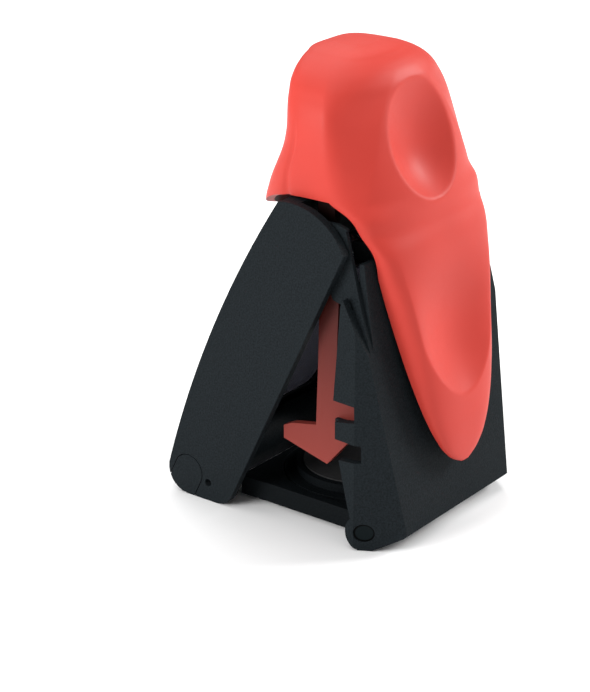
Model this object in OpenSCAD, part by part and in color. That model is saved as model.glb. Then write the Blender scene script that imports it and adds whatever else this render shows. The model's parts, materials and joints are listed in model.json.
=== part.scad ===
// Folding pocket stamp: a housing leg and a lid leg that stand open like the letter A under a red press cap.
// X runs along the hinge axes, the front is -Y, Z is up and the feet stand on Z = 0. Sizes are in mm.

/* [Housing] */
// How far each lower corner of the front stands in from the side
corner_in = 6; // [5.2:0.1:6.8]
// Extra reach of the front at its foot
toe_out = 1.7; // [0:0.1:2]
// Lean of the front face from upright
lean = 8.3; // [7.6:0.1:9]
// Y of the front face where its plane meets the floor
front_y = -31.63; // [-32.6:0.01:-31.2]
// Wall of the housing
wall = 1.6; // [1.2:0.1:1.8]
// Height of the housing above the floor
housing_height = 67; // [66:0.5:67.5]
// Radius of the visible head of a carrier pin
pin_head_r = 2.1; // [1.9:0.1:2.8]
// Radius of the carrier pin inside the carrier
pin_r = 1.6; // [1.2:0.1:1.8]

/* [Lid] */
// Angle of the open lid from upright
lid_open = 25.5; // [24:0.1:27]
// Drop of the lid hinge below the top of the housing
hinge_drop = 6.3; // [5.8:0.1:6.8]
// Y of the lid hinge
hinge_y = -5.2; // [-6:0.1:-4.4]
// Radius of the round head of the lid
head_r = 15.5; // [14.5:0.1:15.8]
// Depth of the lid edge in front of its hinge
lid_edge = 9.9; // [9:0.1:10.4]
// Depth of the bulged back of the lid behind its hinge
lid_back = 11.7; // [11:0.1:13]
// Radius of the bulge along the back of the lid
bulge_r = 253.7; // [200:0.1:400]
// Wall of the lid
lid_wall = 2; // [1.6:0.1:2.2]
// Radius of a hinge pin
hinge_pin_r = 2; // [1.5:0.1:2.5]

/* [Carrier and die] */
// Radius of the rubber die; the carrier, the yoke, the lid and the housing are built outwards from it
die_r = 16.8; // [15.5:0.1:18]
// Width of the carrier rails beside the die
rail_side = 2.4; // [2:0.1:3]
// Height of the carrier rails
rail_height = 4.6; // [4:0.1:5]
// Gap between the carrier and the floor
floor_gap = 0.9; // [0.6:0.1:1.2]
// Height of the relief on the die
relief = 0.9; // [0.5:0.1:1]

/* [Press] */
// Travel of the press cap
press_travel = 1.5; // [1.4:0.1:2]
// Wall of the press cap
cap_wall = 1.6; // [1.2:0.1:1.8]
// Depth of the thumb dimple
dimple_depth = 3.8; // [3:0.1:4]
// Depth of the scoop in the tongue
scoop_depth = 3; // [2:0.1:3.2]
// Rise of the press cap above the top of the housing
cap_rise = 38.5; // [37.5:0.5:41]
// Height of the tip of the cap tongue
cap_tip = 15.6; // [14.5:0.1:16.5]
// Thickness of a press arm
arm_thick = 1.8; // [1.4:0.1:1.9]
// Wire of a press spring
spring_wire = 0.8; // [0.6:0.1:1]

/* [Fits] */
// Gap between parts that slide
slide_gap = 0.2; // [0.15:0.05:0.3]
// Radial gap of a pin that turns
turn_gap = 0.05; // [0.02:0.01:0.1]

/* [Hidden] */
$fn = 48;
RED = [0.9, 0.3, 0.27];
BLACK = [0.16, 0.17, 0.18];
STEEL = [0.6, 0.62, 0.64];
BLUE = [0.2, 0.22, 0.5];
lift = housing_height - 67;
hinge_z = housing_height - hinge_drop;
cap_top = housing_height + cap_rise;
run = tan(lean);
bend_z = 46 + lift;
lower_edge = 4;
// The carrier swings between the press arms, which run just inside the lid cheeks
hole_r = die_r + 0.8;
carrier_half = hole_r + rail_side;
arm_in = carrier_half + 0.8;
arm_out = arm_in + arm_thick;
cheek_in = arm_out + 1.6;
half = cheek_in + lid_wall;
front_half = half - corner_in;
neck_half = front_half - 2.8;
// Carrier pivot, measured from the front face along the floor
pivot_y = front_y + 7.13;
pivot_z = 4.2;
lug_r = pivot_z;
barrel_r = pivot_z - floor_gap - 0.2;
die_reach = hole_r + 1.4;
die_y = pivot_y + die_reach;
rail_top = floor_gap + rail_height;
// Ink tray levels, measured outward from the hinge across the lid
pad_face = 4;
pad_back = 5.6;
tray_back = 6.6;
tray_top = 15;
tray_half = cheek_in - 4.4;
tray_rim = 1;
pad_half = tray_half - tray_rim - 0.1;
// Arch of the tray end, measured down the lid from the hinge
arch_r = 3.9;
arch_across = 2.7;
arch_down = hinge_z + 1.4;
tray_low = arch_down - arch_r + 3.2;
pad_low = tray_low - 7.2;
// Guide posts and the yoke bridge, measured up the lean from the floor
neck_low = 47 + lift;
neck_top = housing_height + 2;
post_x = 10;
post_r = 2;
post_w = 3.4;
bridge_low = neck_top + 12;
bridge_top = bridge_low + 3;
boss_x = 4.5;
boss_w = 7.6;
boss_r = 2;
spring_turns = 5;
spring_r = post_r + 0.6 + spring_wire / 2;
spring_low = neck_top + spring_wire / 2 + 0.1;
spring_top = bridge_low - spring_wire / 2 - 0.1;
hinge_turns = 8;
hinge_pitch = 1.5;
cap_room = cheek_in - 1.4;
cap_stop = housing_height - 2;
step_z = housing_height + 2;
// Yoke plates step inward under the cap
step_out = arm_in - 0.6;
step_in = step_out - arm_thick;
// Shift that puts the middle of the whole object over the origin
centre_y = 2.45;

// Paths of the two kinds of spring wire, and the least gap from each to itself
press_path = coil(spring_r, spring_low, spring_top, spring_turns);
coil_r = hinge_pin_r + 0.5 + spring_wire / 2;
coil_end = hinge_turns * hinge_pitch / 2;
hinge_path = concat([[coil_r, -7, -coil_end]], coil(coil_r, -coil_end, coil_end, hinge_turns),
    [[coil_r, 7, coil_end]]);
echo("least gap of a press spring to itself", least_gap(press_path, spring_wire));
echo("least gap of the hinge spring to itself", least_gap(hinge_path, spring_wire));

// Points of an arc, for outlines
function arc(x, y, r, a0, a1, n) = [for (i = [0:n]) [x + r * cos(a0 + (a1 - a0) * i / n),
    y + r * sin(a0 + (a1 - a0) * i / n)]];
// Y of the front face at a height
function face_y(z) = front_y + run * z;
// Front of the housing, which reaches out towards its foot
function front_at(z) = face_y(z) - toe_out * max(0, bend_z - z) / (bend_z - lower_edge);

// Frame that leans with the housing: X, depth behind the front face, height along the lean
module leaning() translate([0, front_y, 0]) rotate([-lean, 0, 0]) children();
module placed() translate([0, centre_y, 0]) children();
// Outline in the YZ plane, pushed along X from x0 to x1
module across(x0, x1) translate([x0, 0, 0]) rotate([90, 0, 90]) linear_extrude(x1 - x0) children();
// Outline in the lid frame: first axis outward across the lid, second down the lid, both from the hinge
module lid_across(x0, x1) across(x0, x1) translate([hinge_y, hinge_z]) rotate(lid_open) mirror([0, 1])
    children();
module both_sides() {
    children();
    mirror([1, 0, 0]) children();
}
// Bar along X at a point of the YZ plane
module bar(y, z, r, x0, x1) translate([x0, y, z]) rotate([0, 90, 0]) cylinder(r = r, h = x1 - x0);

// Housing plan, open to the front, with two slanted sides, drawn in from the outside by d
module housing_plan(d) {
    corner_y = front_at(lower_edge);
    // The slant ends beside the carrier pins, so that the pins come out on the flat of the sides
    back_y = pivot_y + 1.95;
    slope = (back_y - corner_y) / corner_in;
    grow = d * sqrt(1 + slope * slope) / slope;
    ahead = front_half - 4 / slope - grow;
    polygon([[-ahead, corner_y - 4], [ahead, corner_y - 4], [half - grow, back_y], [half - grow, 0],
        [-half + grow, 0], [-half + grow, back_y]]);
}
module housing_prism(d) translate([0, 0, -1]) linear_extrude(120) housing_plan(d);

// Side view of the housing behind its leaning front, with two notches and the tooth between them
module housing_side(d) {
    top = housing_height;
    polygon([[pivot_y + 1.2, 0], [pivot_y - 1.6, 0], [front_at(lower_edge) + 0.8 + d, lower_edge - 0.8],
        [front_at(lower_edge) + d, lower_edge], [front_at(bend_z) + d, bend_z], [face_y(top) + d, top], [face_y(top) + 0.86, top],
        [face_y(62 + lift) + 1.58, 62 + lift], [face_y(56 + lift) + 4.86, 56 + lift],
        [-16.9, 34.1], [-22.4, 33.9], [-22.5, 30.2], [-17.4, 29.2], [-17.4, 25.2], [-23.8, 24.9],
        [-23.9, 20.9],
        [-18.4, 20.5], [-20.8, 10.3], [-22.8, 3.3]]);
}

// Side view of the cut that draws a front corner back by d
module corner_side(d) polygon([[face_y(bend_z) - 4, bend_z], [face_y(bend_z), bend_z],
    [face_y(72 + lift) + d, 72 + lift], [face_y(72 + lift) - 4, 72 + lift]]);
// Side view of the inner cheek that closes the gap between the lid head and the cap
module cheek_side() translate([0, lift]) polygon([[-22, 54], [-15, 56], [-11.8, 62], [-11.8, 73], [-16, 73],
    [-18.2, 72.4], [-20, 70.6], [-21.3, 68.5]]);

module housing_shell() color(BLACK) placed() difference() {
    union() {
        difference() {
            intersection() {
                housing_prism(0);
                across(-half, half) housing_side(0);
            }
            intersection() {
                housing_prism(wall);
                across(-half, half) polygon([[front_at(-1) + wall / cos(lean), -1],
                    [front_at(bend_z) + wall / cos(lean), bend_z], [face_y(100) + wall / cos(lean), 100],
                    [0, 100], [0, -1]]);
            }
        }
        // Lugs round the carrier pins
        both_sides() intersection() {
            bar(pivot_y, pivot_z, lug_r, carrier_half + 0.3, half);
            housing_prism(0);
        }
        // Inner cheeks, and a thin lip behind each tooth, which slips inside the lid
        both_sides() {
            across(arm_out + 0.3, cheek_in - 0.3) cheek_side();
            across(arm_out + 0.3, cheek_in + 0.8) translate([0, lift])
                polygon([[-22.6, 50], [-19.8, 50], [-20.6, 57], [-22.6, 57]]);
            across(arm_out + 0.3, cheek_in - 0.3)
                polygon([[-19.4, 25.4], [-15.8, 25.6], [-15.8, 28.8], [-19.4, 28.8]]);
            across(arm_out + 0.3, cheek_in + 0.6)
                polygon([[-19.4, 25.4], [-17.5, 25.4], [-17.5, 28.8], [-19.4, 28.8]]);
        }
    }
    both_sides() bar(pivot_y, pivot_z, pin_head_r, carrier_half - 1, half + 1);
    // The middle of the top stops short, so that the cap can come down over it
    translate([-cap_room, -60, cap_stop]) cube([2 * cap_room, 100, 40]);
    // The front corners draw back towards the top, behind the cap
    both_sides() {
        across(cap_room, half + 1) corner_side(3);
        across(cheek_in - 0.2, half + 1) corner_side(9);
    }
}

module housing_neck() color(BLACK) placed() leaning() union() {
    translate([-neck_half, wall + 0.02, neck_low])
        cube([2 * neck_half, 2.4, neck_top - neck_low]);
    translate([-neck_half, wall + 0.02, neck_top - 4]) cube([2 * neck_half, 5, 4]);
    both_sides() translate([post_x, wall + post_w, neck_top - 0.5]) cylinder(r = post_r, h = 20);
}

// One pin: a wide head in the lug and a thin end in the carrier
module carrier_pins() color(BLACK) placed() both_sides() intersection() {
    union() {
        bar(pivot_y, pivot_z, pin_head_r, carrier_half + 0.3, half);
        bar(pivot_y, pivot_z, pin_r, carrier_half - 5, carrier_half + 0.5);
    }
    housing_prism(0.25);
}

// Round wire along a list of points, with rings of six corners
function cross3(a, b) = [a[1] * b[2] - a[2] * b[1], a[2] * b[0] - a[0] * b[2], a[0] * b[1] - a[1] * b[0]];
function unit(v) = v / norm(v);
module wire(pts, r) {
    m = 6;
    n = len(pts);
    function along(i) = unit(pts[min(i + 1, n - 1)] - pts[max(i - 1, 0)]);
    function side(i) = unit(cross3(along(i), [0, 0, 1]));
    rings = [for (i = [0:n - 1]) for (k = [0:m - 1])
        pts[i] + r * (cos(360 * k / m) * side(i) + sin(360 * k / m) * cross3(along(i), side(i)))];
    polyhedron(rings, concat(
        [[for (k = [0:m - 1]) k]],
        [[for (k = [0:m - 1]) (n - 1) * m + m - 1 - k]],
        [for (i = [0:n - 2]) for (k = [0:m - 1])
            [i * m + k, (i + 1) * m + k, (i + 1) * m + (k + 1) % m, i * m + (k + 1) % m]]));
}
// Coil along Z from z0 to z1
// Least gap between stretches of a wire that lie over half a turn apart along it
function least_gap(path, across) = min([for (i = [0:len(path) - 6]) for (j = [i + 5:len(path) - 1])
    norm(path[j] - path[i])]) - across;
function coil(r, z0, z1, turns) = [for (i = [0:8 * turns])
    [r * cos(45 * i), r * sin(45 * i), z0 + (z1 - z0) * i / (8 * turns)]];

module press_springs() color(STEEL) placed() leaning() both_sides() translate([post_x, wall + post_w, 0])
    wire(press_path, spring_wire / 2);

module post_clips() color(STEEL) placed() leaning() both_sides()
    translate([post_x, wall + post_w, bridge_top + 0.3])
    difference() {
        cylinder(r = post_r + 1.4, h = 1);
        translate([0, 0, -1]) cylinder(r = post_r, h = 3);
    }

// Stations up the press cap: height, half width, depth ahead of the front face, depth of the widest line,
// depth of the back, squareness of the front, squareness of the back
cap_skirt = housing_height + 10;
skirt_drop = 7;
dimple_half = 11.4;
dimple_tall = 12.6;
dimple_z = cap_skirt + 10.2;
scoop_low = 31.5;
scoop_top = 47;
CAP = [[cap_tip, 1.6, 4.9, -4.4, 0, 0.62, 0.8], [cap_tip + 1, 3.7, 5.2, -4.3, 0, 0.62, 0.8],
    [cap_tip + 3.4, 6.6, 5.8, -4.2, 0, 0.62, 0.8], [23, 9.3, 6.5, -3.9, 0, 0.62, 0.8],
    [28, 11.5, 7, -3.4, 0, 0.62, 0.8], [35, 13.5, 7.5, -2.5, 0, 0.62, 0.8],
    [47, 15.9, 7.7, -1, 0, 0.62, 0.8], [60 + lift, 18.8, 6.9, -0.45, 18, 0.64, 0.8],
    [66 + lift, 19.9, 5.9, -0.4, 34, 0.68, 0.8], [70 + lift, 20.9, 4.9, -0.3, 37, 0.83, 0.8],
    [cap_skirt, 23.4, 4.6, 5.8, 32.5, 1, 0.6], [cap_skirt + 11, 23.2, 3, 7.9, 22.1, 1, 0.5],
    [cap_skirt + 20, 21.6, 0.6, 8.3, 20.4, 1, 0.5], [cap_top - 4.5, 18.2, -1.4, 9.5, 21.6, 1, 0.5],
    [cap_top - 1.2, 11.8, -4.2, 10, 22, 1, 0.5], [cap_top, 6.4, -6, 9.5, 16.8, 1, 0.5]];
cap_levels = 36;
skirt_level = 20;
cap_columns = 28;
// Smooth value of one column of the stations at a height
function cap_at(z, c) =
    let (n = len(CAP) - 1,
        i = max([for (k = [0:n - 1]) if (k == 0 || CAP[k][0] <= z) k]),
        t = min(1, (z - CAP[i][0]) / (CAP[i + 1][0] - CAP[i][0])),
        p0 = CAP[max(i - 1, 0)][c], p1 = CAP[i][c], p2 = CAP[i + 1][c], p3 = CAP[min(i + 2, n)][c])
    p1 + 0.5 * t * (p2 - p0 + t * (2 * p0 - 5 * p1 + 4 * p2 - p3 + t * (3 * (p1 - p2) + p3 - p0)));
function power(v, e) = sign(v) * pow(abs(v), e);
// Height of a level, from the tip to the skirt and on to the top
function cap_z(i) = i <= skirt_level ? cap_tip + (cap_skirt - cap_tip) * pow(i / skirt_level, 1.2)
    : cap_skirt + (cap_top - cap_skirt) * sin(90 * (i - skirt_level) / (cap_levels - skirt_level));
// Plain point of the cap at a level and an angle; front angles run from 180 to 360, d is the depth under the skin
function cap_plain(i, ang, d) =
    let (front = ang >= 180,
        h = cap_z(i) - d * pow(i / cap_levels, 4) + d * 1.5 * max(0, 1 - i / skirt_level),
        drop = front ? 0 : skirt_drop * pow(sin(ang), 2) * max(0, 1 - (cap_z(i) - cap_skirt) / 12),
        a = max(0.6, cap_half(h) - d),
        mid = cap_at(h, 3),
        ahead = max(0.15, cap_at(h, 2) + mid - d),
        behind = max(0.15, cap_at(h, 4) - mid - d),
        e = front ? cap_at(h, 5) : cap_at(h, 6))
    [a * power(cos(ang), e), face_y(h - drop) + mid + (front ? ahead : behind) * power(sin(ang), e), h - drop];
function cap_half(z) = cap_at(z, 1) * half / 26.2;
// Smooth step from 0 at a to 1 at b
function ramp(a, b, x) = let (t = min(1, max(0, (x - a) / (b - a)))) t * t * (3 - 2 * t);
// The positive part of s, with its corner rounded over about e
function swell(s, e) = (s + sqrt(s * s + e * e)) / 2;
// Depth of the thumb dimple
function dimple(x, z) =
    let (r = pow(x / dimple_half, 2) + pow((z - dimple_z) / dimple_tall, 2))
    r < 1.6 ? dimple_depth * swell(1 - r, 0.05) : 0;
// Depth of the scoop in the tongue
function scoop(x, z) =
    let (s = 1 - pow(x / (0.84 * cap_half(z)), 2) - pow(max(0, scoop_top - z) / (scoop_top - scoop_low), 2))
    s > -0.8 ? scoop_depth * (1 - ramp(scoop_top - 1, scoop_top + 23, z)) * swell(s, 0.06) : 0;
// Depth of the soft hollow of each side, behind a line that runs in towards the top
function side_dent(x, z) =
    let (line = lookup(z - cap_skirt, [[-1, 0.86], [3, 0.78], [8.8, 0.67], [15.8, 0.54], [21.8, 0.37], [25, 0.22]]),
        out = swell(abs(x) / cap_half(z) - line, 0.03))
    1.1 * (1 - exp(-out / 0.16)) * ramp(cap_skirt - 5, cap_skirt + 5, z)
        * (1 - ramp(cap_skirt + 17, cap_skirt + 26, z));
// Point of the cap with its hollows, which sink along the normal of the plain form
function cap_point(i, ang, d) =
    let (p = cap_plain(i, ang, d))
    ang <= 180 || ang >= 360 ? p :
    let (up = cap_plain(min(i + 0.1, cap_levels), ang, d) - cap_plain(max(i - 0.1, 0), ang, d),
        round = cap_plain(i, min(ang + 0.5, 360), d) - cap_plain(i, max(ang - 0.5, 180), d),
        n = cross(round, up),
        depth = dimple(p[0], p[2]) + scoop(p[0], p[2]) + side_dent(p[0], p[2]))
    p - n / max(norm(n), 0.000001) * depth * min(1, 1.6 * sqrt(sin(ang - 180)));
// Edge of the cap: along the tip, up one side of the tongue, round the skirt and down the other side
function cap_front(d) = [for (i = [0:cap_levels]) for (j = [0:cap_columns])
    cap_point(i, 180 + 180 * j / cap_columns, d)];
function cap_back(d) = [for (i = [skirt_level:cap_levels]) for (j = [1:cap_columns - 1])
    cap_point(i, 180 * j / cap_columns, d)];

module cap_shell() {
    w = cap_columns + 1;
    v = cap_columns - 1;
    nf = (cap_levels + 1) * w;
    nb = (cap_levels - skirt_level + 1) * v;
    total = nf + nb;
    points = concat(cap_front(0), cap_back(0), cap_front(cap_wall), cap_back(cap_wall));
    function f(i, j) = i * w + j;
    function b(i, j) = j == 0 ? f(i, cap_columns) : j == cap_columns ? f(i, 0)
        : nf + (i - skirt_level) * v + j - 1;
    outer = concat(
        [for (i = [0:cap_levels - 1]) for (j = [0:cap_columns - 1]) each
            [[f(i, j), f(i + 1, j), f(i + 1, j + 1)], [f(i, j), f(i + 1, j + 1), f(i, j + 1)]]],
        [for (i = [skirt_level:cap_levels - 1]) for (j = [0:cap_columns - 1]) each
            [[b(i, j), b(i + 1, j), b(i + 1, j + 1)], [b(i, j), b(i + 1, j + 1), b(i, j + 1)]]],
        [for (j = [0:cap_columns - 1])
            [f(cap_levels, j), b(cap_levels, cap_columns - j), f(cap_levels, j + 1)]],
        [for (j = [0:cap_columns - 1]) [f(cap_levels, j + 1), b(cap_levels, cap_columns - j),
            b(cap_levels, cap_columns - j - 1)]]);
    edge = concat(
        [for (j = [0:cap_columns]) f(0, j)],
        [for (i = [1:skirt_level]) f(i, cap_columns)],
        [for (j = [1:cap_columns - 1]) b(skirt_level, j)],
        [for (i = [skirt_level:-1:1]) f(i, 0)]);
    m = len(edge);
    color(RED) placed() polyhedron(points, concat(
        outer,
        [for (t = outer) [t[0] + total, t[2] + total, t[1] + total]],
        [for (k = [0:m - 1]) each [[edge[k], edge[(k + 1) % m], edge[(k + 1) % m] + total],
            [edge[k], edge[(k + 1) % m] + total, edge[k] + total]]]));
}

// Side view of one yoke plate: the anchor foot, the arm, the hinge ear and the neck up to the bridge
module yoke_side() {
    polygon([[-12.7, 16.6], [-0.8, 19.7], [-0.8, 22.8], [-3.2, 23.9], [-9.7, 25.2],
        [-10.2, 40.6], [-10.4, hinge_z - 8.7],
        [hinge_y, hinge_z - 4], [hinge_y, hinge_z + 4], [-7.6, step_z], [-13, step_z],
        [-15.6, hinge_z - 3.7], [-15.2, 45], [-17, 35], [-21.6, 33.6], [-21.4, 28.6],
        [-16.4, 27], [-18.3, 23.2]]);
    translate([hinge_y, hinge_z]) circle(r = 4.6);
}

module press_yoke() color(RED) placed() difference() {
    union() {
        both_sides() {
            across(arm_in, arm_out) yoke_side();
            across(step_in, arm_out - 0.2) translate([-12.8, step_z - 3.2]) square([4.8, 3]);
            across(step_in, step_out) translate([-12.6, step_z - 2.8]) square([4.4, 14.8]);
        }
        leaning() {
            translate([-step_out + 0.4, wall + 0.6, bridge_low])
                cube([2 * step_out - 0.8, 9, bridge_top - bridge_low]);
            // Bosses pressed into the top of the cap
            both_sides() translate([boss_x, wall + boss_w, bridge_top - 1])
                cylinder(r = boss_r, h = cap_top - bridge_top + 1.9 - cap_wall);
        }
    }
    bar(hinge_y, hinge_z, hinge_pin_r + turn_gap, -half, half);
    leaning() both_sides() translate([post_x, wall + post_w, bridge_low - 5])
        cylinder(r = post_r + slide_gap, h = 20);
}

module hinge_axle() color(STEEL) placed() bar(hinge_y, hinge_z, hinge_pin_r, -half + 1, half - 1);

// Coil round the axle with one leg up the lid and one down it
module hinge_spring() color(STEEL) placed() translate([0, hinge_y, hinge_z]) rotate([lid_open, 0, 0])
    rotate([90, 0, 90]) {
        wire(hinge_path, spring_wire / 2);
    }

function lid_outer(l) = lid_back - bulge_r + sqrt(bulge_r * bulge_r - (l - 22.1) * (l - 22.1));
function floor_down(n) = (hinge_z + n * sin(lid_open)) / cos(lid_open);
module lid_bulge(d) translate([lid_back - bulge_r, 22.1]) circle(r = bulge_r - d, $fn = 720);
module lid_outline() {
    heel_r = 5.5;
    toe_r = 5;
    heel_n = lid_outer(63) - heel_r;
    toe_n = -lid_edge + toe_r;
    intersection() {
        lid_bulge(0);
        translate([-lid_edge, -head_r]) square([lid_edge + 20, 100]);
        union() {
            circle(r = head_r);
            polygon(concat([[-lid_edge, 0], [lid_back + 1, 0],
                [lid_back + 1, floor_down(heel_n) - heel_r / cos(lid_open)]],
                arc(heel_n, floor_down(heel_n) - heel_r / cos(lid_open), heel_r, 0, 90 + lid_open, 8),
                arc(toe_n, floor_down(toe_n) - toe_r / cos(lid_open), toe_r, 90 + lid_open, 180, 6)));
        }
    }
}
module arch(d) {
    translate([arch_across, arch_down]) circle(r = arch_r + d);
    translate([arch_across - arch_r - d, arch_down]) square([2 * (arch_r + d), 20]);
}
module lid_cavity() difference() {
    union() {
        intersection() {
            lid_bulge(lid_wall);
            translate([-lid_edge - 4, 0]) square([40, 80]);
        }
        intersection() {
            lid_bulge(lid_wall);
            circle(r = head_r - lid_wall);
        }
        translate([-lid_edge - 10, -head_r - 4]) square([lid_edge + 15.3, head_r + 5]);
    }
    arch(slide_gap + 1.3);
    translate([arch_across, arch_down + 2]) square([30, 30]);
}

module lid_shell() color(BLACK) placed() difference() {
    union() {
        difference() {
            lid_across(-half, half) lid_outline();
            lid_across(-cheek_in, cheek_in) lid_cavity();
        }
        both_sides() bar(hinge_y, hinge_z, 4.2, arm_out + 0.3, cheek_in + 0.2);
    }
    bar(hinge_y, hinge_z, hinge_pin_r + turn_gap, -half + 0.9, half - 0.9);
    lid_across(-half - 1, half + 1) arch(slide_gap);
    lid_across(-tray_half - 0.3, tray_half + 0.3) translate([pad_face - 0.4, tray_top])
        square([tray_back + slide_gap - pad_face + 0.4, 60 + lift]);
    both_sides() lid_across(cheek_in - 1, half + 1) translate([-3.1, arch_down - 1.2]) circle(r = 0.9);
}

// Small catches on the inside of the cheeks, near the foot
module lid_catch() color(BLACK) placed() both_sides() lid_across(cheek_in - 1, cheek_in)
    translate([-lid_edge + 1, hinge_z - 12.7]) square([4, 6]);

// Tray floor and its four rims
module pad_tray() color(BLACK) placed() {
    top = tray_top + 0.4;
    lid_across(-tray_half, tray_half) translate([pad_back, top])
        square([tray_back - pad_back, tray_low - top]);
    both_sides() lid_across(tray_half - tray_rim, tray_half) translate([pad_face + 0.4, top])
        square([2, pad_low + 1.3 - top]);
    lid_across(-tray_half, tray_half) translate([pad_face + 0.4, top]) square([2, tray_rim]);
    lid_across(-tray_half, tray_half) translate([pad_face + 0.4, pad_low + 0.3]) square([2, tray_rim]);
}
module ink_pad() color(BLUE) placed() lid_across(-pad_half, pad_half) translate([pad_face, tray_top + 1.6])
    square([pad_back - pad_face - 0.05, pad_low - tray_top - 1.6]);
module tray_end() color(BLACK) placed() difference() {
    lid_across(-half, half) intersection() {
        lid_outline();
        arch(0);
    }
    lid_across(-tray_half, tray_half) translate([pad_back, pad_low])
        square([tray_back - pad_back, tray_low - pad_low]);
}

module carrier_frame() color(BLACK) placed() difference() {
    union() {
        translate([-carrier_half, pivot_y + 1, floor_gap])
            cube([2 * carrier_half, 2 * die_reach - 1, rail_height]);
        both_sides() bar(pivot_y, pivot_z, barrel_r, carrier_half - 5, carrier_half - 1.2);
    }
    translate([0, die_y, -1]) cylinder(r = hole_r, h = 20);
    both_sides() bar(pivot_y, pivot_z, pin_r + turn_gap, carrier_half - 6, half);
    translate([-carrier_half + 5.4, pivot_y - 5, -1]) cube([2 * carrier_half - 10.8, 7.4, 20]);
}
die_low = 3.4;
module die_holder() color(BLACK) placed() translate([0, die_y, 0]) {
    translate([0, 0, die_low]) cylinder(r = hole_r - 0.3, h = rail_top - die_low);
    translate([0, 0, die_low]) cylinder(r = die_r - 2.2, h = 4);
}
module die_cushion() color([0.35, 0.36, 0.38]) placed() translate([0, die_y, die_low - 1])
    cylinder(r = die_r, h = 1);
module rubber_die() color([0.45, 0.2, 0.16]) placed() translate([0, die_y, 0]) {
    top = die_low - 1;
    translate([0, 0, top - 0.4]) cylinder(r = die_r, h = 0.4);
    for (r = [die_r - 0.4, 0.66 * die_r]) translate([0, 0, top - relief]) difference() {
        cylinder(r = r, h = relief - 0.2);
        translate([0, 0, -1]) cylinder(r = r - 0.9, h = 3);
    }
    for (y = [-4, 0, 4]) translate([-0.45 * die_r, y - 0.5, top - relief])
        cube([0.9 * die_r, 1, relief - 0.2]);
    for (k = [0:11]) rotate(30 * k) translate([0.74 * die_r, -0.4, top - relief])
        cube([0.16 * die_r, 0.8, relief - 0.2]);
}
module die_label() color([0.1, 0.1, 0.11]) placed() translate([0, die_y, die_low + 4])
    cylinder(r = die_r - 3.8, h = 0.3);

housing_shell();
housing_neck();
carrier_pins();
press_springs();
post_clips();
cap_shell();
press_yoke();
hinge_axle();
hinge_spring();
lid_shell();
lid_catch();
pad_tray();
ink_pad();
tray_end();
carrier_frame();
die_holder();
die_cushion();
rubber_die();
die_label();
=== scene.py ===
import json
import math
import bpy
import numpy as np
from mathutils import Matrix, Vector


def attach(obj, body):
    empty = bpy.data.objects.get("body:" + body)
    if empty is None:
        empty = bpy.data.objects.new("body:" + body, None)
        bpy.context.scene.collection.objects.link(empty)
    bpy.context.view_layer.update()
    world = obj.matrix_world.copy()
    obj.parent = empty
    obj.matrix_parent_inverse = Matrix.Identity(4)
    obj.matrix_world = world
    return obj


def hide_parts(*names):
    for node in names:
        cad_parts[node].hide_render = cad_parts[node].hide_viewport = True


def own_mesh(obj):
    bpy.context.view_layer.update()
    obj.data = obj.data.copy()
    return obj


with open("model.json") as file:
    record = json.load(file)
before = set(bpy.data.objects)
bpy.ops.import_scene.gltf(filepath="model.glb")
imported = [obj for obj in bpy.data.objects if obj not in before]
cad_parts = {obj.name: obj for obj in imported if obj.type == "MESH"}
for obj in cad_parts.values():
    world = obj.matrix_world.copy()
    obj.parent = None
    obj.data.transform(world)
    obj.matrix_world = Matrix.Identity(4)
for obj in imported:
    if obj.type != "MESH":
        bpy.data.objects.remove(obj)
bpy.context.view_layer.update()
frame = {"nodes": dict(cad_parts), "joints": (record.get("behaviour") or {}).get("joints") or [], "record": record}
JOINTS = {j["name"]: j for j in frame["joints"]}

bl_info = {
    "name": "Folding pocket stamp",
    "version": (1, 1, 0),
    "blender": (4, 5, 0),
    "location": "3D Viewport > Sidebar > Stamp",
    "description": "Dresses the packed frame of a folding pocket stamp and sets its studio",
    "category": "Add Mesh",
}

MM = 0.001
# Size of the picture in pixels, and the pixel at which the camera's target stands
IMAGE = (590.0, 692.0)
TARGET_PIXEL = (341.67, 279.65)
SENSOR = 36.0

# Stations up the cap in millimetres: height, half width, depth ahead of the front face, depth of the widest
# line behind it, depth of the back; then the squareness of the front and of the back
CAP = np.array([
    [15.6, 1.6, 4.9, -4.4, 0.0, 0.62, 0.8],
    [16.6, 3.7, 5.2, -4.3, 0.0, 0.62, 0.8],
    [19.0, 6.6, 5.8, -4.2, 0.0, 0.62, 0.8],
    [23.0, 9.3, 6.5, -3.9, 0.0, 0.62, 0.8],
    [28.0, 11.5, 7.0, -3.4, 0.0, 0.62, 0.8],
    [35.0, 13.5, 7.5, -2.5, 0.0, 0.62, 0.8],
    [47.0, 15.9, 7.7, -1.0, 0.0, 0.62, 0.8],
    [60.0, 18.8, 6.9, -0.45, 18.0, 0.64, 0.8],
    [67.0, 20.15, 5.65, -0.4, 35.0, 0.71, 0.8],
    [70.0, 21.15, 4.9, 1.0, 37.0, 0.83, 0.8],
    [74.4, 22.4, 4.7, 3.3, 34.2, 0.86, 0.66],
    [77.0, 23.2, 4.6, 7.2, 32.5, 0.9, 0.6],
    [80.0, 23.4, 4.3, 8.0, 29.8, 0.93, 0.56],
    [88.0, 23.1, 2.8, 8.0, 22.3, 0.96, 0.5],
    [97.0, 20.4, 0.8, 8.3, 21.5, 1.0, 0.5],
    [100.0, 18.1, 0.2, 9.2, 21.6, 1.0, 0.5],
    [102.2, 15.0, -1.2, 9.6, 21.5, 1.0, 0.5],
    [103.8, 11.6, -3.1, 9.7, 21.1, 1.0, 0.5],
    [104.9, 8.3, -5.4, 9.8, 20.2, 1.0, 0.5],
    [105.5, 4.8, -9.0, 9.8, 17.5, 1.0, 0.5],
])
CAP[:, :5] *= MM
CAP_LOW, CAP_TOP = CAP[0, 0], CAP[-1, 0]
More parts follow.
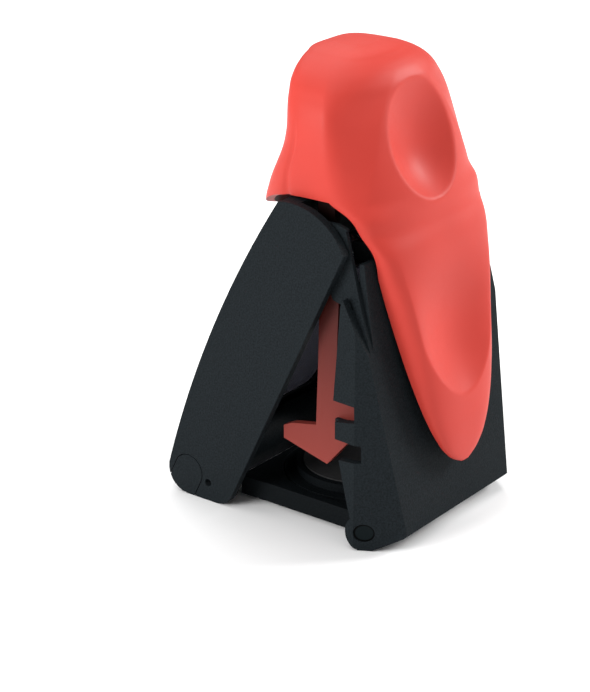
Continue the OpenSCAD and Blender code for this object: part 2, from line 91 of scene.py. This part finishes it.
# Rows below and above the skirt, and columns on each half of the cap; a power spaces the rows below
ROWS_UNDER, ROWS_OVER, CAP_COLS = 150, 90, 120
ROWS_POWER = 0.92
# Thinnest half width and depth that the inner wall may come to
THIN_X, THIN_Y = 0.6 * MM, 0.15 * MM

# How much deeper the dimple is at its foot than at its middle, and how sharp the lips of the hollows are
DIMPLE_TILT = 0.45
DIMPLE_LIP, SCOOP_LIP = 0.025, 0.03
# Beyond these values of their formulas the dimple and the scoop have no depth at all
DIMPLE_REACH, SCOOP_REACH = 1.6, -0.8
# Widest height of the scoop, its share of the tongue's width, and the heights between which it runs out
SCOOP_MID, SCOOP_SHARE = 47.0 * MM, 0.84
SCOOP_END = (46.0 * MM, 70.0 * MM)
# Line on the cap's side from which the side dent starts, as heights and shares of the half width
DENT_HEIGHTS = np.array([76.0, 80.0, 85.8, 92.8, 98.8, 102.0]) * MM
DENT_SHARES = np.array([0.86, 0.78, 0.67, 0.54, 0.37, 0.22])
DENT_LIP, DENT_RUN = 0.03, 0.16
DENT_START, DENT_END = (72.0 * MM, 82.0 * MM), (94.0 * MM, 103.0 * MM)
# The hollows run out towards the side line, over this share of the half turn's sine
SIDE_FADE = 0.7
# Seam of the back fins: angle from the side line, half angle, and the heights between which it runs out
SEAM_PLACE, SEAM_HALF = math.radians(15.0), math.radians(2.2)
SEAM_END = (86.0 * MM, 95.0 * MM)

# Powers that square the ink pad's outline, its edge and its crown
PAD_OUTLINE, PAD_EDGE, PAD_CROWN = 0.2, 0.16, 0.6
PAD_ROWS, PAD_COLS = 28, 64
# Points on each turn of a press spring, and round its wire
COIL_STEPS, WIRE_SIDES = 40, 12

# Distances from the pin's axis between which its end turns to the black gap line
PIN_RING = (1.65 * MM, 1.8 * MM)
# Heights between which the yoke's painted shade runs from a lit tone at the feet to a deep shade under the cap,
# and the strength of both
YOKE_SHADE_SPAN = (18.0 * MM, 64.0 * MM)
YOKE_PAINTED_LIGHT, YOKE_PAINTED_SHADE = 1.65, 0.06
# Strength of the shine on red and on black plastic
RED_SHINE, BLACK_SHINE = 0.15, 0.04

# Rounding of each carried over node, as a share of the set rounding
ROUNDED = {"housing_shell": 1.0, "lid_shell": 1.0, "press_yoke": 0.7, "carrier_frame": 0.8,
           "tray_end": 0.6, "die_holder": 0.8, "pad_tray": 0.3, "housing_neck": 0.6}
# Points of a node that lie this close count as one
JOIN_REACH = 0.001 * MM
# Faces across a rounding, and the angle from which an edge is rounded
ROUND_STEPS, ROUND_FROM = 2, math.radians(35.0)
# Nodes inside the stamp that take a deeper black, painted shade for the shadow inside it, and how deep
PAINTED_SHADE_NODES = ("carrier_frame", "die_holder", "pad_tray")
PAINTED_SHADE_DEPTH = 0.45

# Floor: half side, points along a side, and how far it lies under the feet
FLOOR_HALF, FLOOR_POINTS, FLOOR_DROP = 2.0, 25, 0.1 * MM
# Nearest and farthest distance that the camera sees
CLIP = (0.01, 20.0)
# Lights: name, place and target in metres, side in metres, power in watts
LIGHTS = (
    ("key", (0.78, -0.5, 0.52), (0.0, 0.0, 0.06), 0.4, 11.5),
    ("fill", (-0.85, 0.34, 0.42), (0.0, 0.0, 0.05), 0.5, 9.0),
    ("top", (0.0, 0.1, 1.6), (0.0, 0.0, 0.0), 1.4, 14.5),
    ("back", (0.55, 0.75, 0.9), (0.5, 0.7, 0.0), 0.9, 6.0),
)


# Settings

def length(label, text, millimetres):
    """A length that the user can set; the default is in millimetres."""
    return bpy.props.FloatProperty(name=label, description=text, default=millimetres * MM, precision=4,
                                   unit="LENGTH")


def angle(label, text, degrees):
    """An angle that the user can set; the default is in degrees."""
    return bpy.props.FloatProperty(name=label, description=text, default=math.radians(degrees),
                                   subtype="ANGLE")


def colour(label, text, value):
    """A linear colour that the user can set."""
    return bpy.props.FloatVectorProperty(name=label, description=text, size=4, min=0.0, max=1.0,
                                         default=value + (1.0,), subtype="COLOR")


class StampSizes(bpy.types.PropertyGroup):
    """Sizes of the dressed pieces."""

    lean: angle("Lean", "Lean of the housing's front face", 8.3)
    front_y: length("Front", "Place of the front face at the floor, before the shift", -31.63)
    centre_y: length("Shift", "Shift that puts the middle of the object over the origin", 2.45)
    cap_wall: length("Cap wall", "Wall of the press cap", 1.6)
    skirt: length("Skirt", "Height of the cap's skirt at the sides", 77.0)
    skirt_drop: length("Skirt drop", "Drop of the skirt at the back", 8.2)
    skirt_run: length("Skirt run", "Height over which the drop runs out", 12.0)
    seam_depth: length("Seam", "Depth of the seam at the back fins", 0.4)
    dimple_depth: length("Dimple depth", "Depth of the thumb dimple", 4.6)
    dimple_half: length("Dimple width", "Half width of the thumb dimple", 11.4)
    dimple_tall: length("Dimple length", "Half height of the thumb dimple", 12.6)
    dimple_z: length("Dimple height", "Height of the middle of the thumb dimple", 87.2)
    scoop_depth: length("Scoop depth", "Depth of the scoop in the tongue", 4.0)
    scoop_low: length("Scoop foot", "Height of the lower end of the scoop", 31.5)
    dent_depth: length("Side dents", "Depth of the soft dents in the cap's sides", 1.1)
    spring_wire: length("Spring wire", "Thickness of the press springs' wire", 0.8)
    spring_turns: bpy.props.IntProperty(name="Spring turns", description="Turns of a press spring", default=5)
    edge_round: length("Edges", "Rounding of moulded edges", 0.5)


class StampColours(bpy.types.PropertyGroup):
    """Base colours of the finishes."""

    red: colour("Red", "Red plastic of the cap", (0.535, 0.049, 0.036))
    # A darker copy of the cap's red: painted shade for the yoke, which stands in shadow inside the stamp
    inner: colour("Inner red", "Red plastic of the yoke", (0.13, 0.021, 0.0162))
    black: colour("Black", "Black plastic of the housing and the lid", (0.0098, 0.0128, 0.0148))
    steel: colour("Steel", "Drawn steel of the springs and the axle", (0.45, 0.47, 0.5))
    dark: colour("Blackened steel", "Steel of the pivot pins", (0.005, 0.008, 0.009))
    felt: colour("Felt", "Inked felt of the pad", (0.008, 0.01, 0.04))
    foam: colour("Foam", "Foam under the die", (0.12, 0.12, 0.13))
    rubber: colour("Rubber", "Rubber of the die", (0.25, 0.07, 0.05))
    card: colour("Card", "Card on the back of the die holder", (0.012, 0.012, 0.013))
    floor: colour("Floor", "Floor of the studio", (0.94, 0.94, 0.94))


class StampStudio(bpy.types.PropertyGroup):
    """Camera and surrounding light."""

    lens: bpy.props.FloatProperty(name="Lens", description="Focal length", default=116.0, unit="CAMERA")
    azimuth: angle("Azimuth", "Turn of the camera from the front", -54.0)
    elevation: angle("Elevation", "Height of the camera as an angle", 20.5)
    distance: length("Distance", "Distance of the camera from its target", 500.0)
    target_z: length("Target", "Height of the camera's target", 50.0)
    ambient: bpy.props.FloatProperty(name="Ambient", description="Strength of the light all round", default=0.26)


# Meshes

def make_object(name, verts, faces, sharp=50.0):
    """Smooth mesh object from points in metres and faces; edges sharper than the given angle are kept."""
    mesh = bpy.data.meshes.new(name)
    mesh.from_pydata(verts.tolist(), [], faces)
    mesh.validate()
    mesh.update()
    mesh.shade_smooth()
    mesh.set_sharp_from_angle(angle=math.radians(sharp))
    obj = bpy.data.objects.new(name, mesh)
    bpy.context.scene.collection.objects.link(obj)
    return obj


def quads(grid):
    """Four sided faces between the neighbours of a grid of point numbers."""
    return np.stack([grid[:-1, :-1], grid[:-1, 1:], grid[1:, 1:], grid[1:, :-1]], -1).reshape(-1, 4).tolist()


def fan(ring, point):
    """Triangles from a closed ring of point numbers to one point."""
    return np.stack([ring, np.roll(ring, -1), np.full_like(ring, point)], -1).tolist()


def signed_power(v, e):
    """Power of the size of v, with the sign of v."""
    return np.sign(v) * np.abs(v) ** e


def smoothstep(ends, x):
    """Cubic step from 0 at the first end to 1 at the second."""
    t = np.clip((x - ends[0]) / (ends[1] - ends[0]), 0.0, 1.0)
    return t * t * (3.0 - 2.0 * t)


def soft_positive(s, e):
    """max(s, 0) with its corner rounded over about e."""
    return 0.5 * (s + np.sqrt(s * s + e * e))


# The cap

def cap_values(z):
    """Values of all station columns at heights z, on cubics that share a slope where they meet.

    The slope at a station is the mean of the slopes on both sides, each weighted by the other side's length."""
    rows = CAP[:, 0]
    h = np.diff(rows)[:, None]
    d = np.diff(CAP, axis=0) / h
    inner = (h[:-1] * d[1:] + h[1:] * d[:-1]) / (h[:-1] + h[1:])
    slope = np.concatenate([d[:1], inner, d[-1:]])
    i = np.clip(np.searchsorted(rows, z, "right") - 1, 0, len(rows) - 2)
    step = h[i]
    t = (z - rows[i])[..., None] / step
    return (CAP[i] * (1 + 2 * t) * (1 - t) ** 2 + CAP[i + 1] * t * t * (3 - 2 * t)
            + step * t * (1 - t) * (slope[i] * (1 - t) - slope[i + 1] * t))


def cap_surface(sizes, z, turn, d, drop=0.0):
    """Rings x = a cos^e, y = face + m + b sin^e at height z, at depth d below the surface.

    Half width a, widest line m and squareness e come from the stations at z. Turns from pi to 2 pi run round
    the front, where b is the depth ahead, and turns from 0 to pi round the back. Rings are let down by drop."""
    zz = z - d * ((z - z.min()) / (z.max() - z.min())) ** 4
    c = cap_values(np.clip(zz, CAP_LOW, CAP_TOP))
    face = sizes.front_y + math.tan(sizes.lean) * (zz - drop)
    front = turn >= math.pi - 1e-9
    e = np.where(front, c[..., 5], c[..., 6])
    a = np.maximum(THIN_X, c[..., 1] - d)
    m = c[..., 3]
    b = np.maximum(THIN_Y, np.where(front, c[..., 2] + m, c[..., 4] - m) - d)
    x = a * signed_power(np.cos(turn), e)
    y = face + m + b * signed_power(np.sin(turn), e)
    return np.stack([x, y + sizes.centre_y, zz - drop], -1)


def cap_relief(sizes, p):
    """Depth of the hollows at points p on the front.

    The dimple is D (1 - r) inside the ellipse r < 1, tilted to be deeper at its foot. The scoop is S (1 - u^2 -
    v^2) below its widest height and runs out above it. The side dents come up to full depth behind a line."""
    x, z = p[..., 0], p[..., 2]
    a = cap_values(np.clip(z, CAP_LOW, CAP_TOP))[..., 1]
    up = (z - sizes.dimple_z) / sizes.dimple_tall
    r = (x / sizes.dimple_half) ** 2 + up ** 2
    dimple = sizes.dimple_depth * soft_positive(1.0 - r, DIMPLE_LIP) * (1.0 - DIMPLE_TILT * up)
    dimple = np.where(r < DIMPLE_REACH, dimple, 0.0)
    v = np.maximum(0.0, SCOOP_MID - z) / (SCOOP_MID - sizes.scoop_low)
    s = 1.0 - (x / (SCOOP_SHARE * a)) ** 2 - v ** 2
    scoop = sizes.scoop_depth * (1.0 - smoothstep(SCOOP_END, z)) * soft_positive(s, SCOOP_LIP)
    scoop = np.where(s > SCOOP_REACH, scoop, 0.0)
    behind = np.abs(x) / a - np.interp(z, DENT_HEIGHTS, DENT_SHARES)
    dent = sizes.dent_depth * (1.0 - np.exp(-soft_positive(behind, DENT_LIP) / DENT_RUN))
    dent = dent * smoothstep(DENT_START, z) * (1.0 - smoothstep(DENT_END, z))
    return dimple + scoop + dent


def seam_relief(sizes, z, turn):
    """Depth of the fine seam in front of each back fin: a bell across the turn that runs out upwards."""
    near = np.minimum(np.abs(turn - SEAM_PLACE), np.abs(math.pi - turn - SEAM_PLACE))
    return sizes.seam_depth * np.exp(-(near / SEAM_HALF) ** 2) * (1.0 - smoothstep(SEAM_END, z))


def outward(p):
    """Unit normals of a grid of points whose first axis runs up and whose second runs round."""
    n = np.cross(np.gradient(p, axis=1), np.gradient(p, axis=0))
    return n / np.maximum(1e-12, np.linalg.norm(n, axis=-1, keepdims=True))


class STAMP_OT_cap(bpy.types.Operator):
    """Build the red press cap with its thumb dimple, scooped tongue and flared skirt."""

    bl_idname = "stamp.cap"
    bl_label = "Press cap"

    def execute(self, context):
        sizes = context.scene.stamp_sizes
        skirt = sizes.skirt
        under = CAP_LOW + (skirt - CAP_LOW) * np.linspace(0.0, 1.0, ROWS_UNDER) ** ROWS_POWER
        over = skirt + (CAP_TOP - skirt) * np.sin(np.linspace(0.0, 0.5 * math.pi, ROWS_OVER)[1:])
        z = np.concatenate([under, over])
        k, rows = len(under) - 1, len(z)
        half_turn = math.pi * np.linspace(0.0, 1.0, CAP_COLS + 1)
        front_z, front_turn = np.meshgrid(z, math.pi + half_turn, indexing="ij")
        back_z, back_turn = np.meshgrid(z[k:], half_turn[1:-1], indexing="ij")
        fade = smoothstep((0.0, SIDE_FADE), np.abs(np.sin(front_turn)))
        run_out = np.maximum(0.0, 1.0 - (back_z - skirt) / sizes.skirt_run)
        drop = sizes.skirt_drop * np.sin(back_turn) ** 2 * run_out
        walls = []
        for d in (0.0, sizes.cap_wall):
            front = cap_surface(sizes, front_z, front_turn, d)
            back = cap_surface(sizes, back_z, back_turn, d, drop)
            front = front - outward(front) * (cap_relief(sizes, front) * fade)[..., None]
            back = back - outward(back) * seam_relief(sizes, back_z, back_turn)[..., None]
            walls.append(np.concatenate([front.reshape(-1, 3), back.reshape(-1, 3)]))
        total = len(walls[0])
        f = np.arange(front_z.size).reshape(rows, CAP_COLS + 1)
        b = np.arange(front_z.size, total).reshape(back_z.shape)
        b = np.concatenate([f[k:, -1:], b, f[k:, :1]], 1)
        outer = quads(f) + quads(b)
        crown = np.concatenate([f[-1, :-1], b[-1, :-1]])
        rim = np.concatenate([f[0], f[1:k + 1, -1], b[0, 1:-1], f[k:0:-1, 0]])
        faces = outer + [[q + total for q in reversed(o)] for o in outer]
        rim = np.append(rim, rim[0])
        faces += quads(np.stack([rim, rim + total], 1))
        faces += fan(crown, 2 * total) + fan(crown[::-1] + total, 2 * total + 1)
        tops = [[wall[crown].mean(0)] for wall in walls]
        obj = make_object("cap_skin", np.concatenate(walls + tops), faces, sharp=60.0)
        obj.data.materials.append(material_red())
        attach(obj, "cap")
        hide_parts("cap_shell")
        return {"FINISHED"}


# The press springs

def tube(path, out, radius):
    """Round wire: a circle of the given radius carried along a path of points, closed at both ends.

    The circle lies across the path, and out gives the direction from which it starts."""
    along = np.gradient(path, axis=0)
    along = along / np.linalg.norm(along, axis=1, keepdims=True)
    first = out - along * (out * along).sum(1, keepdims=True)
    first = first / np.linalg.norm(first, axis=1, keepdims=True)
    second = np.cross(along, first)
    s = (2.0 * math.pi * np.arange(WIRE_SIDES) / WIRE_SIDES)[None, :, None]
    ring = path[:, None] + radius * (np.cos(s) * first[:, None] + np.sin(s) * second[:, None])
    grid = np.arange(len(path) * WIRE_SIDES).reshape(len(path), WIRE_SIDES)
    faces = quads(np.concatenate([grid, grid[:, :1]], 1))
    faces += fan(grid[0, ::-1], grid.size) + fan(grid[-1], grid.size + 1)
    return np.concatenate([ring.reshape(-1, 3), path[:1], path[-1:]]), faces


class STAMP_OT_springs(bpy.types.Operator):
    """Wind the two press springs on the guide posts, at one fixed length; they do not shorten as the cap is
    pressed.
    """

    bl_idname = "stamp.springs"
    bl_label = "Press springs"

    def execute(self, context):
        sizes = context.scene.stamp_sizes
        press = JOINTS["cap_press"]
        axis = -np.array(press["axis"])
        across = np.array([0.0, axis[2], -axis[1]])
        side = np.array([1.0, 0.0, 0.0])
        pts = np.array([v.co for v in frame["nodes"]["press_springs"].data.vertices])
        low, high = (pts @ axis).min(), (pts @ axis).max()
        wire = 0.5 * sizes.spring_wire
        turn = np.linspace(0.0, 2.0 * math.pi * sizes.spring_turns, COIL_STEPS * sizes.spring_turns + 1)[:, None]
        # Helix: middle + r (cos t, sin t) across the axis, rising evenly along it
        rise = low + wire + (high - low - 2.0 * wire) * turn / turn[-1]
        verts, faces = [], []
        for hand in (-1.0, 1.0):
            own = pts[pts[:, 0] * hand > 0.0]
            mid_x = 0.5 * (own[:, 0].min() + own[:, 0].max())
            mid_y = 0.5 * ((own @ across).min() + (own @ across).max())
            r = 0.5 * (own[:, 0].max() - own[:, 0].min()) - wire
            out = np.cos(turn) * side + np.sin(turn) * across
            v, f = tube(mid_x * side + mid_y * across + rise * axis + r * out, out, wire)
            faces += [[q + sum(map(len, verts)) for q in face] for face in f]
            verts.append(v)
        obj = make_object("press_coils", np.concatenate(verts), faces, sharp=60.0)
        obj.data.materials.append(material_steel())
        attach(obj, "housing")
        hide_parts("press_springs")
        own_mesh(obj)
        return {"FINISHED"}


# The ink pad

class STAMP_OT_pad(bpy.types.Operator):
    """Build the inked felt pad in the tray, a crowned slab with rounded edges."""

    bl_idname = "stamp.pad"
    bl_label = "Ink pad"

    def execute(self, context):
        down = np.array(JOINTS["pad_slide"]["axis"])
        axes = np.array([[1.0, 0.0, 0.0], down, [0.0, -down[2], down[1]]])
        pts = np.array([v.co for v in frame["nodes"]["ink_pad"].data.vertices])
        mid = 0.5 * (pts.min(0) + pts.max(0))
        half = np.abs((pts - mid) @ axes.T).max(0)
        # Superellipsoid: A sin(p)^e cos(t)^f across, B sin(p)^e sin(t)^f down the lid, C cos(p)^g outward
        p = math.pi * np.arange(1, PAD_ROWS) / PAD_ROWS
        t = 2.0 * math.pi * np.arange(PAD_COLS) / PAD_COLS
        p, t = np.meshgrid(p, t, indexing="ij")
        ring = np.sin(p) ** PAD_EDGE
        unit = np.stack([ring * signed_power(np.cos(t), PAD_OUTLINE), ring * signed_power(np.sin(t), PAD_OUTLINE),
                         signed_power(np.cos(p), PAD_CROWN)], -1).reshape(-1, 3)
        unit = np.concatenate([unit, [[0.0, 0.0, 1.0], [0.0, 0.0, -1.0]]])
        grid = np.arange(p.size).reshape(p.shape)
        faces = quads(np.concatenate([grid, grid[:, :1]], 1)[::-1])
        faces += fan(grid[0], p.size) + fan(grid[-1, ::-1], p.size + 1)
        obj = make_object("pad_felt", mid + (unit * half) @ axes, faces, sharp=80.0)
        obj.data.materials.append(material_felt())
        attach(obj, "cartridge")
        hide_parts("ink_pad")
        return {"FINISHED"}


# Materials

MADE = {}


def once(name, build):
    """This scene's material of that name, built the first time it is asked for."""
    if name not in MADE:
        MADE[name] = build()
    return MADE[name]


def shade(tone, k):
    """A colour made lighter or darker by k."""
    return (tone[0] * k, tone[1] * k, tone[2] * k, 1.0)


def new_material(name, tone):
    """Node material with a Principled shader; returns the material, its node tree and the shader."""
    mat = bpy.data.materials.new("stamp_" + name)
    mat.use_nodes = True
    tree = mat.node_tree
    shader = tree.nodes["Principled BSDF"]
    shader.inputs["Base Color"].default_value = tone
    return mat, tree, shader


def noise(tree, scale, detail=3.0, rough=0.5):
    """Noise texture in object coordinates; scale is in cycles per metre."""
    coords = tree.nodes.new("ShaderNodeTexCoord")
    node = tree.nodes.new("ShaderNodeTexNoise")
    node.inputs["Scale"].default_value = scale
    node.inputs["Detail"].default_value = detail
    node.inputs["Roughness"].default_value = rough
    tree.links.new(coords.outputs["Object"], node.inputs["Vector"])
    return node.outputs["Fac"]


def between(tree, value, ends):
    """A value taken from 0 at the first end to 1 at the second."""
    span = tree.nodes.new("ShaderNodeMapRange")
    span.inputs["From Min"].default_value = ends[0]
    span.inputs["From Max"].default_value = ends[1]
    tree.links.new(value, span.inputs["Value"])
    return span.outputs["Result"]


def tint(tree, shader, value, dark, light, ends=(0.0, 1.0)):
    """Base colour between two tones, chosen by a value between two stops."""
    ramp = tree.nodes.new("ShaderNodeValToRGB")
    for stop, place, tone in zip(ramp.color_ramp.elements, ends, (dark, light)):
        stop.position = place
        stop.color = tone
    tree.links.new(value, ramp.inputs["Fac"])
    tree.links.new(ramp.outputs["Color"], shader.inputs["Base Color"])


def mottle(tree, shader, value, tone, low, high):
    """Base colour that wavers between a darker and a lighter shade of a tone."""
    tint(tree, shader, value, shade(tone, low), shade(tone, high), (0.3, 0.7))


def roughen(tree, shader, value, low, high):
    """Roughness between two values, chosen by a texture."""
    span = tree.nodes.new("ShaderNodeMapRange")
    span.inputs["To Min"].default_value = low
    span.inputs["To Max"].default_value = high
    tree.links.new(value, span.inputs["Value"])
    tree.links.new(span.outputs["Result"], shader.inputs["Roughness"])


def bump(tree, shader, value, strength, distance):
    """Small relief from a texture."""
    node = tree.nodes.new("ShaderNodeBump")
    node.inputs["Strength"].default_value = strength
    node.inputs["Distance"].default_value = distance
    tree.links.new(value, node.inputs["Height"])
    tree.links.new(node.outputs["Normal"], shader.inputs["Normal"])


def satin(tree, shader):
    """Satin skin of moulded red plastic, with very fine grain."""
    roughen(tree, shader, noise(tree, 900.0, 2.0), 0.42, 0.52)
    bump(tree, shader, noise(tree, 4200.0, 2.0), 0.06, 0.0002)
    shader.inputs["Specular IOR Level"].default_value = RED_SHINE


def material_red():
    """Satin red moulded plastic with a faint flow variation."""
    def build():
        tone = bpy.context.scene.stamp_colours.red
        mat, tree, shader = new_material("red_plastic", tone)
        mottle(tree, shader, noise(tree, 45.0, 2.0), tone, 0.94, 1.06)
        satin(tree, shader)
        return mat
    return once("red_plastic", build)


def material_yoke_painted_shade():
    """Inner red plastic, a darker copy of the cap's red, with painted shade from a lit tone at the feet to a deep
    shade under the cap.
    """
    def build():
        tone = bpy.context.scene.stamp_colours.inner
        mat, tree, shader = new_material("red_painted_shade", tone)
        coords = tree.nodes.new("ShaderNodeTexCoord")
        split = tree.nodes.new("ShaderNodeSeparateXYZ")
        tree.links.new(coords.outputs["Object"], split.inputs["Vector"])
        # Painted shade: the base colour darkens with height, towards the shadow under the cap
        height = between(tree, split.outputs["Z"], YOKE_SHADE_SPAN)
        tint(tree, shader, height, shade(tone, YOKE_PAINTED_LIGHT), shade(tone, YOKE_PAINTED_SHADE))
        satin(tree, shader)
        return mat
    return once("red_painted_shade", build)


def material_black(name="black_plastic", depth=1.0):
    """Matte black moulded plastic with a spark-eroded grain; inner parts are made deeper as painted shade."""
    def build():
        tone = shade(bpy.context.scene.stamp_colours.black, depth)
        mat, tree, shader = new_material(name, tone)
        mottle(tree, shader, noise(tree, 2600.0, 2.0), tone, 0.75, 1.35)
        roughen(tree, shader, noise(tree, 120.0, 3.0), 0.5, 0.62)
        bump(tree, shader, noise(tree, 2600.0, 2.0), 0.35, 0.0002)
        shader.inputs["Specular IOR Level"].default_value = BLACK_SHINE
        return mat
    return once(name, build)


def material_steel():
    """Drawn steel with fine scratches."""
    def build():
        mat, tree, shader = new_material("steel", bpy.context.scene.stamp_colours.steel)
        shader.inputs["Metallic"].default_value = 1.0
        roughen(tree, shader, noise(tree, 1500.0, 4.0), 0.28, 0.45)
        bump(tree, shader, noise(tree, 5000.0, 2.0), 0.05, 0.0001)
        return mat
    return once("steel", build)


def material_pins():
    """Blackened steel of the pivot pins, with a black gap line where each pin meets its bore."""
    def build():
        tone = bpy.context.scene.stamp_colours.dark
        mat, tree, shader = new_material("black_steel", tone)
        coords = tree.nodes.new("ShaderNodeTexCoord")
        flat = tree.nodes.new("ShaderNodeVectorMath")
        flat.operation = "MULTIPLY"
        flat.inputs[1].default_value = (0.0, 1.0, 1.0)
        away = tree.nodes.new("ShaderNodeVectorMath")
        away.operation = "DISTANCE"
        away.inputs[1].default_value = JOINTS["carrier_fold"]["pos_m"]
        tree.links.new(coords.outputs["Object"], flat.inputs[0])
        tree.links.new(flat.outputs["Vector"], away.inputs[0])
        tint(tree, shader, between(tree, away.outputs["Value"], PIN_RING), shade(tone, 1.0), shade(tone, 0.04))
        roughen(tree, shader, noise(tree, 1200.0, 3.0), 0.4, 0.52)
        bump(tree, shader, noise(tree, 5000.0, 2.0), 0.05, 0.0001)
        shader.inputs["Specular IOR Level"].default_value = BLACK_SHINE
        return mat
    return once("black_steel", build)


def material_felt():
    """Felt soaked in ink, with a fibrous surface."""
    def build():
        tone = bpy.context.scene.stamp_colours.felt
        mat, tree, shader = new_material("inked_felt", tone)
        mottle(tree, shader, noise(tree, 700.0, 6.0, 0.7), tone, 0.6, 1.5)
        roughen(tree, shader, noise(tree, 300.0, 3.0), 0.7, 0.95)
        bump(tree, shader, noise(tree, 2200.0, 6.0, 0.7), 0.6, 0.0004)
        shader.inputs["Sheen Weight"].default_value = 0.25
        return mat
    return once("inked_felt", build)


def material_soft(name, tone, scale, low, high, depth):
    """Matte soft material, such as foam, rubber or card, with its own grain."""
    def build():
        mat, tree, shader = new_material(name, tone)
        mottle(tree, shader, noise(tree, scale, 4.0, 0.6), tone, 0.85, 1.12)
        roughen(tree, shader, noise(tree, scale * 0.5, 2.0), low, high)
        bump(tree, shader, noise(tree, scale, 3.0), 0.3, depth)
        return mat
    return once(name, build)


class STAMP_OT_dress(bpy.types.Operator):
    """Give every carried over node its moulded or drawn material, and round the edges of the nodes listed in
    ROUNDED.
    """

    bl_idname = "stamp.dress"
    bl_label = "Dress the frame"

    def execute(self, context):
        sizes = context.scene.stamp_sizes
        tones = context.scene.stamp_colours
        finish = {
            "black_plastic": material_black,
            "red_plastic": material_red,
            "steel": material_steel,
            "black_steel": material_pins,
            "inked_felt": material_felt,
            "foam": lambda: material_soft("foam", tones.foam, 1800.0, 0.8, 0.95, 0.0003),
            "rubber": lambda: material_soft("rubber", tones.rubber, 900.0, 0.6, 0.8, 0.0001),
            "card": lambda: material_soft("card", tones.card, 1200.0, 0.7, 0.9, 0.0001),
        }
        for part in frame["record"]["subparts"]:
            name = part["node"]
            obj = frame["nodes"][name]
            mat = finish[part["material_slot"]]()
            # The yoke takes its red with painted shade
            if name == "press_yoke":
                mat = material_yoke_painted_shade()
            # Nodes inside the stamp take a black darkened as painted shade
            elif name in PAINTED_SHADE_NODES:
                mat = material_black("black_painted_shade", PAINTED_SHADE_DEPTH)
            if not obj.material_slots:
                obj.data.materials.append(mat)
            for s in obj.material_slots:
                s.material = mat
            if name in ROUNDED:
                # The frame's faces come apart at sharp edges, so they are joined before the edges are rounded
                w = obj.modifiers.new("joined", "WELD")
                w.merge_threshold = JOIN_REACH
                b = obj.modifiers.new("rounded", "BEVEL")
                b.width = ROUNDED[name] * sizes.edge_round
                b.segments = ROUND_STEPS
                b.limit_method = "ANGLE"
                b.angle_limit = ROUND_FROM
                n = obj.modifiers.new("even", "WEIGHTED_NORMAL")
                n.keep_sharp = True
                n.weight = 100
        return {"FINISHED"}


# The studio

def area_light(name, place, target, size, power):
    """Square soft light that faces a point."""
    data = bpy.data.lights.new(name, "AREA")
    data.shape = "SQUARE"
    data.size = size
    data.energy = power
    obj = bpy.data.objects.new(name, data)
    obj.location = place
    obj.rotation_euler = (Vector(target) - Vector(place)).to_track_quat("-Z", "Y").to_euler()
    bpy.context.scene.collection.objects.link(obj)


class STAMP_OT_stage(bpy.types.Operator):
    """Set the white floor, the soft studio light and the camera."""

    bl_idname = "stamp.stage"
    bl_label = "Studio"

    def execute(self, context):
        scene = context.scene
        studio = scene.stamp_studio
        # Floor: a flat square, just under the feet
        reach = np.linspace(-FLOOR_HALF, FLOOR_HALF, FLOOR_POINTS)
        x, y = np.meshgrid(reach, reach, indexing="ij")
        verts = np.stack([x, y, np.full_like(x, -FLOOR_DROP)], -1).reshape(-1, 3)
        floor = make_object("floor", verts, quads(np.arange(x.size).reshape(x.shape).T))
        mat, _, shader = new_material("floor", scene.stamp_colours.floor)
        shader.inputs["Roughness"].default_value = 0.85
        shader.inputs["Specular IOR Level"].default_value = 0.1
        floor.data.materials.append(mat)
        world = bpy.data.worlds.new("studio")
        world.use_nodes = True
        background = world.node_tree.nodes["Background"]
        background.inputs["Color"].default_value = (1.0, 1.0, 1.0, 1.0)
        background.inputs["Strength"].default_value = studio.ambient
        scene.world = world
        scene.view_settings.view_transform = "Standard"
        for light in LIGHTS:
            area_light(*light)
        az, el = studio.azimuth, studio.elevation
        back = Vector((math.sin(az) * math.cos(el), -math.cos(az) * math.cos(el), math.sin(el)))
        right = Vector((math.cos(az), math.sin(az), 0.0))
        up = back.cross(right)
        target = Vector((0.0, scene.stamp_sizes.centre_y, studio.target_z))
        focal = studio.lens / SENSOR * IMAGE[1]
        # The camera aims beside its target by as much as the target's pixel is off the picture's middle
        aim = (-back + right * ((0.5 * IMAGE[0] - TARGET_PIXEL[0]) / focal)
               + up * ((TARGET_PIXEL[1] - 0.5 * IMAGE[1]) / focal))
        data = bpy.data.cameras.new("camera")
        data.lens = studio.lens
        data.sensor_width = SENSOR
        data.clip_start, data.clip_end = CLIP
        camera = bpy.data.objects.new("camera", data)
        camera.location = target + back * studio.distance
        camera.rotation_euler = aim.to_track_quat("-Z", "Y").to_euler()
        scene.collection.objects.link(camera)
        scene.camera = camera
        return {"FINISHED"}


class STAMP_PT_panel(bpy.types.Panel):
    """Sidebar panel with one button for each step."""

    bl_idname = "STAMP_PT_panel"
    bl_label = "Folding pocket stamp"
    bl_space_type = "VIEW_3D"
    bl_region_type = "UI"
    bl_category = "Stamp"

    def draw(self, context):
        for step in STEPS:
            self.layout.operator(step.bl_idname)


STEPS = (STAMP_OT_stage, STAMP_OT_cap, STAMP_OT_springs, STAMP_OT_pad, STAMP_OT_dress)
GROUPS = {"stamp_sizes": StampSizes, "stamp_colours": StampColours, "stamp_studio": StampStudio}
CLASSES = tuple(GROUPS.values()) + STEPS + (STAMP_PT_panel,)


def register():
    """Register the classes and hang the settings on the scene."""
    for c in CLASSES:
        bpy.utils.register_class(c)
    for name, group in GROUPS.items():
        setattr(bpy.types.Scene, name, bpy.props.PointerProperty(type=group))


def unregister():
    """Take the settings off the scene and drop the classes."""
    for name in GROUPS:
        delattr(bpy.types.Scene, name)
    for c in reversed(CLASSES):
        bpy.utils.unregister_class(c)


def main():
    """Run every step in order."""
    register()
    bpy.ops.stamp.stage()
    bpy.ops.stamp.cap()
    bpy.ops.stamp.springs()
    bpy.ops.stamp.pad()
    bpy.ops.stamp.dress()


if __name__ == "__main__":
    main()
